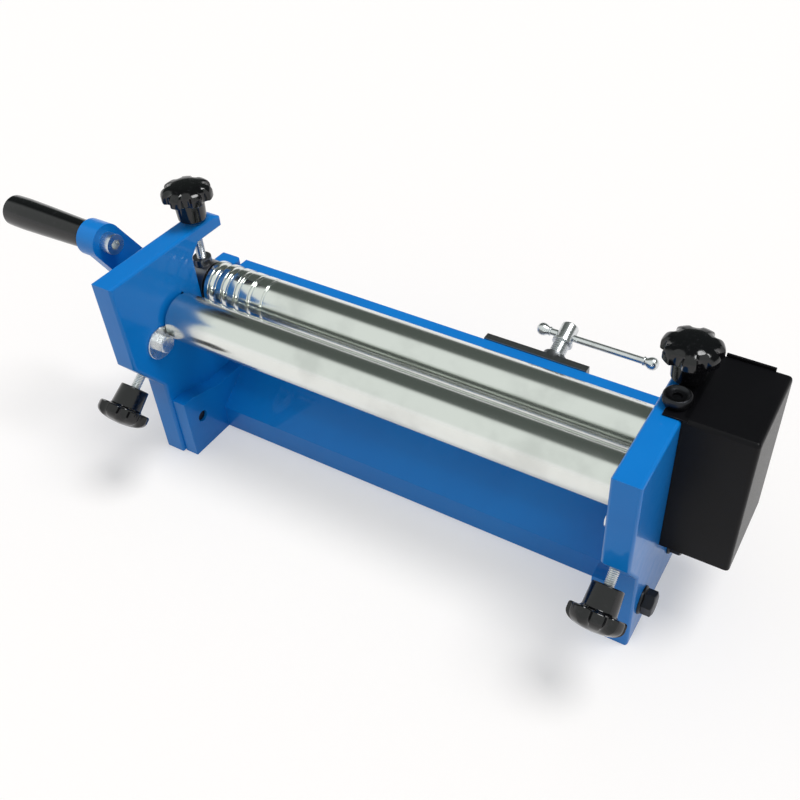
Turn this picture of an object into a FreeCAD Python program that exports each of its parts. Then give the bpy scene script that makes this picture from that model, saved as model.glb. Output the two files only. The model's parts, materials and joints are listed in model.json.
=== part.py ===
# Bench slip roll machine: two geared pinch rolls, one adjustable bending roll, crank on the left.
# Millimetres. X runs along the rolls, -Y is the side of the bending roll, Z is up.
# The origin is the centre of the foot print on the bench.
import FreeCAD, Part
import math
import os
import re
import Sketcher

SIZES = {
    # rolls
    "roll_diameter": 31.0,
    "roll_length": 306.0,
    "end_clearance": 2.0,
    "journal_diameter": 14.0,
    "sheet_gap": 0.4,
    "pinch_y": 20.0,
    "lower_roll_z": 71.6,
    "bend_roll_y": -17.0,
    "bend_roll_z": 101.0,
    "slide_angle": 35.0,
    "groove_pitch": 10.0,
    "groove_width": 6.5,
    "groove_step": 1.15,
    "first_groove": 7.0,
    "groove_count": 5.0,
    # side frames
    "frame_thickness": 16.0,
    "frame_height": 148.0,
    "front_reach": 61.5,
    "chin_height": 87.0,
    "foot_depth": 86.0,
    "horn_reach": 36.0,
    "horn_depth": 10.0,
    "post_height": 107.0,
    "post_reach": 46.0,
    "cast_round": 2.0,
    # bearing blocks and bushes
    "block_width": 28.0,
    "block_drop": 15.0,
    "slot_depth": 18.0,
    "lift_boss": 12.0,
    "lift_boss_height": 4.0,
    "bend_block_width": 22.0,
    "bend_block_front": 30.0,
    "bend_block_depth": 12.0,
    "bend_block_back": 10.0,
    "bend_travel_out": 4.0,
    "bend_travel_in": 6.0,
    "slide_clearance": 0.1,
    "bush_wall": 2.0,
    "running_clearance": 0.05,
    "keeper_along": 21.2,
    "keeper_across": 5.0,
    "keeper_bolt": 6.0,
    "keeper_washer": 22.0,
    "washer_thickness": 1.5,
    # adjusting screws and star knobs
    "screw_diameter": 6.0,
    "lift_gap": 2.5,
    "bend_gap": 9.0,
    "knob_diameter": 32.0,
    "knob_head": 14.0,
    "knob_hub": 16.5,
    "knob_hub_length": 13.0,
    "lobe_count": 7.0,
    "scallop_diameter": 9.0,
    "screw_grip": 8.0,
    # base and rear rail
    "base_front": 7.3,
    "base_lip": 17.3,
    "base_ridge_y": 18.0,
    "base_ridge_z": 36.5,
    "base_back": 30.0,
    "base_wall": 7.0,
    "base_rib": 8.0,
    "flange_thickness": 10.0,
    "flange_front": 41.0,
    "flange_front_height": 46.0,
    "flange_height": 38.5,
    "frame_bolt": 8.0,
    "frame_bolt_head": 17.0,
    "frame_bolt_y": 28.0,
    "frame_bolt_z": 26.0,
    "rear_bolt_y": 20.0,
    "rail_thickness": 8.0,
    "rail_height": 30.0,
    "rail_bolt": 5.0,
    # gears and cover
    "tooth_count": 16.0,
    "gear_width": 14.0,
    "gear_gap": 5.0,
    "gear_key": 4.0,
    "end_screw": 5.0,
    "tooth_play": 0.35,
    "cover_width": 39.0,
    "cover_front": 11.0,
    "cover_bottom": 52.0,
    "cover_sheet": 1.2,
    "cover_tab": 13.0,
    "cover_screw": 4.0,
    # crank
    "crank_length": 89.0,
    "crank_grub": 6.0,
    "crank_angle": 30.0,
    "arm_offset": 22.0,
    "arm_thickness": 8.0,
    "arm_width": 23.0,
    "arm_boss": 14.0,
    "hub_diameter": 27.0,
    "grip_length": 62.0,
    "grip_diameter": 24.0,
    "grip_neck": 21.0,
    "grip_bolt": 8.0,
    # clamp at the rear rail
    "clamp_x": 75.0,
    "clamp_width": 67.0,
    "clamp_plate": 5.0,
    "clamp_angle": 20.0,
    "clamp_screw": 10.0,
    "clamp_stroke": 12.0,
    "clamp_tip": 9.0,
    "clamp_head": 11.0,
    "tommy_length": 70.0,
    "tommy_diameter": 4.0,
    "tommy_offset": 20.0,
    "tommy_ball": 8.0,
}

# A size given by name in a formula is read from the sheet.
UPPER_ROLL_Z = "(lower_roll_z + roll_diameter + sheet_gap)"
FRAME_INSIDE = "(roll_length / 2 + end_clearance)"
FRAME_OUTSIDE = "(roll_length / 2 + end_clearance + frame_thickness)"
TURN_TO_X = FreeCAD.Rotation(FreeCAD.Vector(0, 1, 0), 90)
TURN_TO_MINUS_X = FreeCAD.Rotation(FreeCAD.Vector(0, 1, 0), -90)
PROFILE_TURN = FreeCAD.Rotation(FreeCAD.Vector(1, 1, 1), 120)

doc = FreeCAD.newDocument("slip_roll_machine")
sheet = doc.addObject("Spreadsheet::Sheet", "Sizes")
for row, (alias, value) in enumerate(SIZES.items(), start=1):
    sheet.set(f"A{row}", alias)
    sheet.set(f"B{row}", str(value))
    sheet.setAlias(f"B{row}", alias)
doc.recompute()


def formula(text):
    """Point every size named in a formula at its cell."""
    def cell(match):
        word = match.group()
        return f"Sizes.{word}" if word in SIZES else word
    return re.sub(r"[A-Za-z_]+", cell, str(text))


def bind(item, **sizes):
    """Bind properties to formulas on the sheet."""
    for name, text in sizes.items():
        item.setExpression(name, formula(text))


def put(item, x, y, z, turn=None):
    """Place an object at a point given by three formulas."""
    if turn is not None:
        item.Placement = FreeCAD.Placement(FreeCAD.Vector(0, 0, 0), turn)
    item.setExpression("Placement.Base.x", formula(x))
    item.setExpression("Placement.Base.y", formula(y))
    item.setExpression("Placement.Base.z", formula(z))
    return item


def tilt(item, degrees):
    """Turn an object's own Z axis from upright towards -Y, about X."""
    item.Placement = FreeCAD.Placement(FreeCAD.Vector(0, 0, 0), FreeCAD.Vector(1, 0, 0), 1)
    item.setExpression("Placement.Rotation.Angle", formula(degrees))
    return item


def cylinder(name, diameter, length):
    item = doc.addObject("Part::Cylinder", name)
    bind(item, Radius=f"({diameter}) / 2", Height=length)
    return item


def cone(name, lower, upper, length):
    item = doc.addObject("Part::Cone", name)
    bind(item, Radius1=f"({lower}) / 2", Radius2=f"({upper}) / 2", Height=length)
    return item


def box(name, x, y, z):
    item = doc.addObject("Part::Box", name)
    bind(item, Length=x, Width=y, Height=z)
    return item


def prism(name, across_flats, length):
    """A hexagon bar of the given width across its flats."""
    item = doc.addObject("Part::Prism", name)
    item.Polygon = 6
    bind(item, Circumradius=f"({across_flats}) / 2 / cos(30)", Height=length)
    return item


def fuse(name, pieces):
    item = doc.addObject("Part::MultiFuse", name)
    item.Shapes = pieces
    item.Refine = True
    return item


def cut(name, base, tool):
    item = doc.addObject("Part::Cut", name)
    item.Base = base
    item.Tool = tool
    item.Refine = True
    return item


def node(item, label):
    """Name the object that is one sub-part of the machine."""
    item.Label = label
    NODES.append(item)
    return item


NODES = []


def origin_plane(body, role):
    return next(plane for plane in body.Origin.OriginFeatures if plane.Role == role)


def polygon_sketch(body, name, corners, role="XY_Plane"):
    """A closed outline whose corners are held by formulas from the body's origin."""
    sketch = body.newObject("Sketcher::SketchObject", name)
    sketch.AttachmentSupport = [(origin_plane(body, role), "")]
    sketch.MapMode = "FlatFace"
    count = len(corners)
    ring = [FreeCAD.Vector(50 * math.cos(2 * math.pi * i / count),
                           50 * math.sin(2 * math.pi * i / count), 0) for i in range(count)]
    for i in range(count):
        sketch.addGeometry(Part.LineSegment(ring[i], ring[(i + 1) % count]), False)
    for i in range(count):
        sketch.addConstraint(Sketcher.Constraint("Coincident", i, 2, (i + 1) % count, 1))
    for i, corner in enumerate(corners):
        for kind, start, text in (("DistanceX", ring[i].x, corner[0]), ("DistanceY", ring[i].y, corner[1])):
            index = sketch.addConstraint(Sketcher.Constraint(kind, -1, 1, i, 1, start))
            sketch.setExpression(f"Constraints[{index}]", formula(text))
    return sketch


def circle_sketch(body, name, circles, role="XY_Plane"):
    """Circles given as (x, y, diameter) formulas."""
    sketch = body.newObject("Sketcher::SketchObject", name)
    sketch.AttachmentSupport = [(origin_plane(body, role), "")]
    sketch.MapMode = "FlatFace"
    for i, (x, y, diameter) in enumerate(circles):
        middle = FreeCAD.Vector(30 * i + 10, 10, 0)
        sketch.addGeometry(Part.Circle(middle, FreeCAD.Vector(0, 0, 1), 3 + i), False)
        for constraint, text in (
                (Sketcher.Constraint("DistanceX", -1, 1, i, 3, middle.x), x),
                (Sketcher.Constraint("DistanceY", -1, 1, i, 3, middle.y), y),
                (Sketcher.Constraint("Diameter", i, 6.0 + 2 * i), diameter)):
            index = sketch.addConstraint(constraint)
            sketch.setExpression(f"Constraints[{index}]", formula(text))
    return sketch


def pad(body, sketch, length, name):
    item = body.newObject("PartDesign::Pad", name)
    item.Profile = sketch
    bind(item, Length=length)
    return item


def pocket(body, sketch, name):
    """Cut the sketch right through the pad that stands on the same plane."""
    item = body.newObject("PartDesign::Pocket", name)
    item.Profile = sketch
    item.Type = "ThroughAll"
    item.Reversed = True
    return item


def profile_body(name, corners, start, thickness, windows=(), holes=()):
    """A plate whose outline is drawn in YZ and padded along +X from start."""
    body = doc.addObject("PartDesign::Body", name)
    put(body, start, "0", "0", PROFILE_TURN)
    pad(body, polygon_sketch(body, name + "_outline", corners), thickness, name + "_pad")
    for i, window in enumerate(windows):
        pocket(body, polygon_sketch(body, f"{name}_window{i}", window), f"{name}_window_cut{i}")
    if holes:
        pocket(body, circle_sketch(body, name + "_holes", holes), name + "_hole_cut")
    return body


def round_rims(body, radius, faces_at):
    """Round the outer rims of a plate, on the faces that lie at the given X."""
    doc.recompute()
    base = body.Tip
    names = []
    for i, edge in enumerate(base.Shape.Edges, start=1):
        spread = edge.BoundBox
        flat = spread.ZMax - spread.ZMin < 0.001
        if flat and any(abs(spread.ZMin - level) < 0.001 for level in faces_at):
            if edge.Curve.TypeId == "Part::GeomLine" and rim_edge(base.Shape, edge):
                names.append(f"Edge{i}")
    item = body.newObject("PartDesign::Fillet", body.Name + "_round")
    item.Base = (base, names)
    bind(item, Radius=radius)
    return item


def rim_edge(shape, edge):
    """True for an edge of the outermost outline of its flat face."""
    for face in shape.Faces:
        normal = face.normalAt(0, 0)
        if abs(abs(normal.z) - 1) < 0.001 and any(edge.isSame(e) for e in face.OuterWire.Edges):
            return True
    return False


def along(distance, across="0"):
    """A point on the bending roll's slide, measured from the roll's axis up the slope."""
    y = f"bend_roll_y + ({distance}) * cos(slide_angle) - ({across}) * sin(slide_angle)"
    z = f"bend_roll_z + ({distance}) * sin(slide_angle) + ({across}) * cos(slide_angle)"
    return y, z


SLOT_FRONT = "(pinch_y - block_width / 2 - slide_clearance)"
SLOT_BACK = "(pinch_y + block_width / 2 + slide_clearance)"
SLOT_FLOOR = f"({UPPER_ROLL_Z} - slot_depth)"
SLIDE_LOW = "(0 - bend_block_front - bend_travel_out - 0.5)"
SLIDE_HIGH = "(bend_block_back + bend_travel_in + 0.3)"
SLIDE_HALF = "(bend_block_width / 2 + slide_clearance)"
BUSH_INSIDE = "(journal_diameter + 2 * running_clearance)"
BUSH_OUTSIDE = "(journal_diameter + 2 * running_clearance + 2 * bush_wall)"
LEG_TOP = "(chin_height - (front_reach - foot_depth / 2) / tan(slide_angle))"
CHIN_DISTANCE = ("((bend_roll_y + front_reach) * cos(slide_angle)"
                 " + (bend_roll_z - chin_height) * sin(slide_angle))")
LIFT_X = "(roll_length / 2 + end_clearance + frame_thickness / 2)"
BEND_X = "(roll_length / 2 + end_clearance + bend_block_depth / 2 + slide_clearance)"
SIDES = (("left", -1), ("right", 1))


def side_start(side, near, length):
    """X where a piece starts that lies from near to near + length on one side."""
    return f"0 - {near} - ({length})" if side < 0 else f"{near}"


def frame_outline():
    """The side frame seen from the end, from the front top corner round by the foot."""
    horn_under = "(frame_height - horn_depth)"
    return [
        ("0 - front_reach", "frame_height"),
        ("0 - front_reach", "chin_height"),
        ("0 - foot_depth / 2", LEG_TOP),
        ("0 - foot_depth / 2", "0"),
        ("foot_depth / 2", "0"),
        ("post_reach", "30"),
        ("post_reach", "post_height"),
        (SLOT_BACK, "post_height"),
        (SLOT_BACK, SLOT_FLOOR),
        (SLOT_FRONT, SLOT_FLOOR),
        (SLOT_FRONT, f"{horn_under} - 7"),
        (f"{SLOT_FRONT} + 7", horn_under),
        ("horn_reach", horn_under),
        ("horn_reach", "frame_height - 3"),
        ("horn_reach - 6", "frame_height"),
    ]


def side_frame(label, side):
    """A cast side frame: foot, leg, chin with the inclined slide, horn over the pinch slot."""
    body = profile_body(label + "_body", frame_outline(),
                        side_start(side, FRAME_INSIDE, "frame_thickness"), "frame_thickness",
                        holes=[("pinch_y", "lower_roll_z", BUSH_OUTSIDE),
                               ("0 - frame_bolt_y", "frame_bolt_z", "frame_bolt + 0.4"),
                               ("rear_bolt_y", "frame_bolt_z", "frame_bolt + 0.4"),
                               (RAIL_BOLT_Y, RAIL_BOLT_LOW, "rail_bolt + 0.4"),
                               (RAIL_BOLT_Y, RAIL_BOLT_HIGH, "rail_bolt + 0.4")])
    round_rims(body, "cast_round", (0, SIZES["frame_thickness"]))
    pocket_depth = "bend_block_depth + 2 * slide_clearance"
    window = box(label + "_slide", pocket_depth, f"{SLIDE_HIGH} - {SLIDE_LOW}", f"2 * {SLIDE_HALF}")
    tilt(window, "slide_angle")
    put(window, side_start(side, FRAME_INSIDE, pocket_depth), *along(SLIDE_LOW, f"0 - {SLIDE_HALF}"))
    lift_hole = put(cylinder(label + "_lift_hole", "screw_diameter + 2 * running_clearance", "horn_depth + 4"),
                    f"{side} * {LIFT_X}", "pinch_y", "frame_height - horn_depth - 2")
    bend_hole = tilt(cylinder(label + "_bend_hole", "screw_diameter + 2 * running_clearance", CHIN_DISTANCE),
                     "90 + slide_angle")
    put(bend_hole, f"{side} * {BEND_X}", *along("0 - bend_block_front"))
    tools = [window, lift_hole, bend_hole]
    if side > 0:
        y, z = COVER_SCREWS[0]
        tools.append(put(cylinder("cover_top_tap", "cover_screw", "8"),
                         COVER_SCREW_X, y, "frame_height - 8"))
        y, z = COVER_SCREWS[1]
        tools.append(put(cylinder("cover_rear_tap", "cover_screw", "8"), COVER_SCREW_X,
                         "post_reach - 8", z, TURN_TO_Y))
    return node(cut(label + "_cut", body, fuse(label + "_tools", tools)), label)


def base_casting():
    """The channel between the frames, open below, with a bolting flange at each end."""
    slope = "((base_ridge_z - base_lip) / (base_ridge_y + base_front))"
    inner_front = "(base_wall - base_front)"
    inner_top = "(base_ridge_z - base_wall)"
    channel = profile_body("base_channel", [
        ("0 - base_front", "0"),
        ("0 - base_front", "base_lip"),
        ("base_ridge_y", "base_ridge_z"),
        ("base_back", "base_ridge_z"),
        ("base_back", "0"),
        ("base_back - base_wall", "0"),
        ("base_back - base_wall", inner_top),
        ("base_ridge_y + 2", inner_top),
        (inner_front, f"{inner_top} - (base_ridge_y + 2 - {inner_front}) * {slope}"),
        (inner_front, "0"),
    ], f"flange_thickness - {FRAME_INSIDE}", f"2 * ({FRAME_INSIDE} - flange_thickness)")
    flanges = []
    for name, side in SIDES:
        flange = profile_body(f"base_flange_{name}", [
            ("0 - flange_front", "0"),
            ("0 - flange_front", "flange_front_height"),
            ("0 - flange_front + 9", "flange_front_height"),
            ("0 - base_front", "flange_height"),
            ("base_ridge_y + 4", "flange_height"),
            ("base_back", "base_ridge_z"),
            ("base_back", "0"),
        ], side_start(side, f"({FRAME_INSIDE} - flange_thickness)", "flange_thickness"), "flange_thickness",
            holes=[("0 - frame_bolt_y", "frame_bolt_z", "frame_bolt"),
                   ("rear_bolt_y", "frame_bolt_z", "frame_bolt")])
        flanges.append(flange)
    rib = profile_body("base_rib", [
        (f"{inner_front} - 2", "0"),
        (f"{inner_front} - 2", "12"),
        ("base_ridge_y", f"{inner_top} + 2"),
        ("base_back - base_wall + 2", f"{inner_top} + 2"),
        ("base_back - base_wall + 2", "0"),
    ], "0 - base_rib / 2", "base_rib")
    return node(fuse("base_casting", [channel, rib] + flanges), "base")


RAIL_FRONT = "(post_reach - rail_thickness)"
RAIL_BOLT_Y = "(post_reach - rail_thickness / 2)"
RAIL_BOLT_LOW = "(post_height - rail_height - 6)"
RAIL_BOLT_HIGH = "(post_height - rail_height + 8)"
LUG_TOP = "(post_height - rail_height + 16)"
LUG_BOTTOM = "(post_height - rail_height - 14)"
TURN_TO_Y = FreeCAD.Rotation(FreeCAD.Vector(1, 0, 0), -90)
COVER_SCREW_X = f"({FRAME_INSIDE} + frame_thickness - cover_tab / 2)"
COVER_SCREWS = (("0", "frame_height + cover_sheet"), ("post_reach + cover_sheet", "60"))


def rear_rail():
    """The cast tie bar behind the pinch rolls, with a lug at each end for two bolts."""
    bar = put(box("rail_bar", f"2 * ({FRAME_INSIDE} - 5)", "rail_thickness", "rail_height"),
              f"5 - {FRAME_INSIDE}", RAIL_FRONT, "post_height - rail_height")
    pieces = [bar]
    for name, side in SIDES:
        lug = box(f"rail_lug_{name}", "flange_thickness", "rail_thickness", f"{LUG_TOP} - {LUG_BOTTOM}")
        put(lug, side_start(side, f"({FRAME_INSIDE} - flange_thickness)", "flange_thickness"),
            RAIL_FRONT, LUG_BOTTOM)
        pieces.append(lug)
    solid = fuse("rail_solid", pieces)
    holes = []
    for name, side in SIDES:
        for i, height in enumerate((RAIL_BOLT_LOW, RAIL_BOLT_HIGH)):
            hole = put(cylinder(f"rail_tap_{name}{i}", "rail_bolt", "flange_thickness + 2"),
                       side_start(side, f"({FRAME_INSIDE} - flange_thickness - 1)", "flange_thickness + 2"),
                       RAIL_BOLT_Y, height, TURN_TO_X)
            holes.append(hole)
    clamp_hole = tilt(cylinder("rail_clamp_hole", "clamp_screw + 1", "40"), "0 - 90 + clamp_angle")
    put(clamp_hole, "clamp_x", *clamp_point("0 - 20"))
    holes.append(clamp_hole)
    for i, x in enumerate(CLAMP_BOLT_X):
        holes.append(put(cylinder(f"rail_plate_tap{i}", "5", "rail_thickness + 2"), x,
                         f"{RAIL_FRONT} - 1", CLAMP_BOLT_Z, TURN_TO_Y))
    return node(cut("rail_cut", solid, fuse("rail_holes", holes)), "rear_rail")


def wire_grooves():
    """The corners of the grooves for rolling wire, from the roll's left end inwards."""
    corners = []
    for i in range(int(SIZES["groove_count"])):
        middle = f"(first_groove + {i} * groove_pitch - roll_length / 2)"
        width = f"(groove_width - {i} * groove_step)"
        for share, depth in ((-0.5, 0), (-0.25, 0.45), (0.25, 0.45), (0.5, 0)):
            corners.append((f"{middle} + {share} * {width}", f"roll_diameter / 2 - {depth} * {width}"))
    return corners


def roll(label, journals, grooves, z, y, keys=()):
    """A ground roll turned between centres: body, journals, chamfers and wire grooves."""
    left, right = journals
    half = "(roll_length / 2)"
    outer = "(roll_diameter / 2)"
    inner = "(journal_diameter / 2)"
    body = doc.addObject("PartDesign::Body", label + "_body")
    sketch = polygon_sketch(body, label + "_half", [
        (f"0 - {half} - {left}", "0"),
        (f"0 - {half} - {left}", inner),
        (f"0 - {half}", inner),
        (f"0 - {half}", f"{outer} - 1"),
        (f"1 - {half}", outer),
        *grooves,
        (f"{half} - 1", outer),
        (half, f"{outer} - 1"),
        (half, inner),
        (f"{half} + {right}", inner),
        (f"{half} + {right}", "0"),
    ])
    turned = body.newObject("PartDesign::Revolution", label + "_turned")
    turned.Profile = sketch
    turned.ReferenceAxis = (sketch, ["H_Axis"])
    turned.Angle = 360
    item = cut(label + "_cut", body, fuse(label + "_tools", keys)) if keys else body
    put(item, "0", y, z)
    return node(item, label)


def bush(name, x, y, z, length="frame_thickness"):
    ring = cut(name, cylinder(name + "_outside", BUSH_OUTSIDE, length),
               cylinder(name + "_bore", BUSH_INSIDE, length))
    return put(ring, x, y, z, TURN_TO_X)


def lower_bushes():
    rings = [bush(f"lower_bush_{name}", side_start(side, FRAME_INSIDE, "frame_thickness"),
                  "pinch_y", "lower_roll_z") for name, side in SIDES]
    return node(fuse("lower_bush_pair", rings), "lower_bushes")


def upper_block(name, side):
    """The pinch roll's bearing block: flat below, round above, with a boss for its screw."""
    start = side_start(side, f"({FRAME_INSIDE} + slide_clearance)", "frame_thickness - 2 * slide_clearance")
    length = "frame_thickness - 2 * slide_clearance"
    round_top = put(cylinder(f"upper_round_{name}", "block_width", length), start, "pinch_y",
                    UPPER_ROLL_Z, TURN_TO_X)
    foot = put(box(f"upper_foot_{name}", length, "block_width", "block_drop"), start,
               "pinch_y - block_width / 2", f"{UPPER_ROLL_Z} - block_drop")
    boss = put(cylinder(f"upper_boss_{name}", "lift_boss", "block_width / 2 + lift_boss_height"),
               f"{side} * {LIFT_X}", "pinch_y", UPPER_ROLL_Z)
    solid = fuse(f"upper_block_solid_{name}", [round_top, foot, boss])
    bore = put(cylinder(f"upper_bore_{name}", BUSH_OUTSIDE, f"{length} + 2"), f"{start} - 1",
               "pinch_y", UPPER_ROLL_Z, TURN_TO_X)
    neck = put(cylinder(f"upper_neck_{name}", "screw_diameter + 0.2", "lift_boss_height + 4"),
               f"{side} * {LIFT_X}", "pinch_y", LIFT_TIP)
    cage = put(cylinder(f"upper_cage_{name}", "screw_diameter + 3.2", "2.2"),
               f"{side} * {LIFT_X}", "pinch_y", LIFT_TIP)
    tools = fuse(f"upper_block_tools_{name}", [bore, neck, cage])
    return node(cut(f"upper_block_cut_{name}", solid, tools), f"upper_block_{name}")


LIFT_TIP = f"({UPPER_ROLL_Z} + block_width / 2 - 1)"


def upper_bushes():
    rings = [bush(f"upper_bush_{name}",
                  side_start(side, f"({FRAME_INSIDE} + slide_clearance)", "frame_thickness - 2 * slide_clearance"),
                  "pinch_y", UPPER_ROLL_Z, "frame_thickness - 2 * slide_clearance") for name, side in SIDES]
    return node(fuse("upper_bush_pair", rings), "upper_bushes")


def bend_block(name, side):
    """The bending roll's sliding block in its inclined pocket."""
    start = side_start(side, f"({FRAME_INSIDE} + slide_clearance)", "bend_block_depth")
    solid = tilt(box(f"bend_solid_{name}", "bend_block_depth", "bend_block_front + bend_block_back",
                     "bend_block_width"), "slide_angle")
    put(solid, start, *along("0 - bend_block_front", "0 - bend_block_width / 2"))
    bore = put(cylinder(f"bend_bore_{name}", BUSH_OUTSIDE, "bend_block_depth + 2"), f"{start} - 1",
               "bend_roll_y", "bend_roll_z", TURN_TO_X)
    y, z = along("0 - keeper_along", "keeper_across")
    tap = put(cylinder(f"keeper_tap_{name}", "keeper_bolt", "bend_block_depth + 2"), f"{start} - 1", y, z,
              TURN_TO_X)
    neck = tilt(cylinder(f"bend_neck_{name}", "screw_diameter + 0.2", "6"), "90 + slide_angle")
    put(neck, f"{side} * {BEND_X}", *along("4 - bend_block_front"))
    cage = tilt(cylinder(f"bend_cage_{name}", "screw_diameter + 3.2", "2.2"), "90 + slide_angle")
    put(cage, f"{side} * {BEND_X}", *along("4 - bend_block_front"))
    tools = fuse(f"bend_block_tools_{name}", [bore, tap, neck, cage])
    return node(cut(f"bend_block_cut_{name}", solid, tools), f"bend_block_{name}")


def bend_bushes():
    rings = [bush(f"bend_bush_{name}",
                  side_start(side, f"({FRAME_INSIDE} + slide_clearance)", "bend_block_depth"),
                  "bend_roll_y", "bend_roll_z", "bend_block_depth") for name, side in SIDES]
    return node(fuse("bend_bush_pair", rings), "bend_bushes")


def bolt(name, diameter, length, head_flats, head_height, flange=None):
    """A hexagon bolt along +Z: its shank ends at length, its head lies below zero."""
    pieces = [cylinder(name + "_shank", diameter, length)]
    head = put(prism(name + "_head", head_flats, head_height), "0", "0", f"0 - ({head_height})")
    pieces.append(head)
    if flange:
        pieces.append(put(cone(name + "_flange", f"{flange} - 1", flange, "1.6"), "0", "0", "0 - 1.6"))
    return fuse(name, pieces)


def keepers(name, side):
    """The hexagon bolt and washer that keep a bending block in its pocket, on the inner face."""
    y, z = along("0 - keeper_along", "keeper_across")
    washer = cut(f"keeper_washer_cut_{name}",
                 cylinder(f"keeper_disc_{name}", "keeper_washer", "washer_thickness"),
                 cylinder(f"keeper_hole_{name}", "keeper_bolt", "washer_thickness"))
    screw = bolt(f"keeper_bolt_{name}", "keeper_bolt", "washer_thickness + slide_clearance + 9", "10", "4")
    turn = TURN_TO_MINUS_X if side < 0 else TURN_TO_X
    face = f"{side} * {FRAME_INSIDE}"
    put(washer, f"{side} * ({FRAME_INSIDE} - washer_thickness)", y, z, turn)
    put(screw, f"{side} * ({FRAME_INSIDE} - washer_thickness)", y, z, turn)
    return washer, screw


def keeper_nodes():
    pairs = [keepers(name, side) for name, side in SIDES]
    node(fuse("keeper_washer_pair", [pair[0] for pair in pairs]), "keeper_washers")
    node(fuse("keeper_bolt_pair", [pair[1] for pair in pairs]), "keeper_bolts")


def star_knob(name):
    """A moulded star knob along +Z: tapered hub, then a domed head with scallops round its rim."""
    body = doc.addObject("PartDesign::Body", name + "_body")
    top = "(knob_hub_length + knob_head)"
    sketch = polygon_sketch(body, name + "_half", [
        ("0", "0"),
        ("knob_hub / 2", "0"),
        ("knob_hub / 2 + 1", "knob_hub_length"),
        ("knob_diameter / 2 - 1.5", "knob_hub_length"),
        ("knob_diameter / 2", "knob_hub_length + 1.5"),
        ("knob_diameter / 2", f"{top} - 4"),
        ("knob_diameter / 4", top),
        ("0", top),
    ], "XZ_Plane")
    turned = body.newObject("PartDesign::Revolution", name + "_turned")
    turned.Profile = sketch
    turned.ReferenceAxis = (sketch, ["V_Axis"])
    turned.Angle = 360
    tools = [cylinder(f"{name}_screw_hole", "screw_diameter", "screw_grip")]
    count = int(SIZES["lobe_count"])
    for i in range(count):
        scallop = cylinder(f"{name}_scallop{i}", "scallop_diameter", "knob_head + 2")
        reach = "(knob_diameter / 2 + scallop_diameter / 2 - 3.5)"
        put(scallop, f"{reach} * cos(360 / lobe_count * {i})", f"{reach} * sin(360 / lobe_count * {i})",
            "knob_hub_length")
        tools.append(scallop)
    return cut(name, body, fuse(name + "_tools", tools))


def captive_screw(name, length):
    """An adjusting screw along +Z with a flat button at its lower end."""
    button = cylinder(name + "_button", "screw_diameter + 3", "2")
    return fuse(name, [cylinder(name + "_stem", "screw_diameter", length), button])


def adjusters():
    for name, side in SIDES:
        length = f"(frame_height + lift_gap + screw_grip - {LIFT_TIP} - 0.1)"
        screw = captive_screw(f"lift_screw_solid_{name}", length)
        node(put(screw, f"{side} * {LIFT_X}", "pinch_y", f"{LIFT_TIP} + 0.1"), f"lift_screw_{name}")
        knob = star_knob(f"lift_knob_solid_{name}")
        node(put(knob, f"{side} * {LIFT_X}", "pinch_y", "frame_height + lift_gap"), f"lift_knob_{name}")
    for name, side in SIDES:
        length = f"({CHIN_DISTANCE} + bend_gap + screw_grip - bend_block_front + 4 - 0.1)"
        screw = tilt(captive_screw(f"bend_screw_solid_{name}", length), "90 + slide_angle")
        node(put(screw, f"{side} * {BEND_X}", *along("4 - bend_block_front - 0.1")), f"bend_screw_{name}")
        knob = tilt(star_knob(f"bend_knob_solid_{name}"), "90 + slide_angle")
        node(put(knob, f"{side} * {BEND_X}", *along(f"0 - {CHIN_DISTANCE} - bend_gap")), f"bend_knob_{name}")


def frame_bolts():
    """Four black flanged bolts that hold the frames to the base."""
    pieces = []
    for name, side in SIDES:
        for i, y in enumerate(("0 - frame_bolt_y", "rear_bolt_y")):
            piece = bolt(f"frame_bolt_{name}{i}", "frame_bolt", "frame_thickness + flange_thickness - 2",
                         "13", "8", "frame_bolt_head")
            turn = TURN_TO_X if side < 0 else TURN_TO_MINUS_X
            pieces.append(put(piece, f"{side} * {FRAME_OUTSIDE}", y, "frame_bolt_z", turn))
    return node(fuse("frame_bolt_set", pieces), "frame_bolts")


def rail_bolts():
    pieces = []
    for name, side in SIDES:
        for i, z in enumerate((RAIL_BOLT_LOW, RAIL_BOLT_HIGH)):
            piece = bolt(f"rail_bolt_{name}{i}", "rail_bolt", "frame_thickness + flange_thickness - 1",
                         "8", "3.5")
            turn = TURN_TO_X if side < 0 else TURN_TO_MINUS_X
            pieces.append(put(piece, f"{side} * {FRAME_OUTSIDE}", RAIL_BOLT_Y, z, turn))
    return node(fuse("rail_bolt_set", pieces), "rail_bolts")


GEAR_X = f"({FRAME_OUTSIDE} + gear_gap)"
SHAFT_END = f"({GEAR_X} + gear_width - 0.5)"


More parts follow.
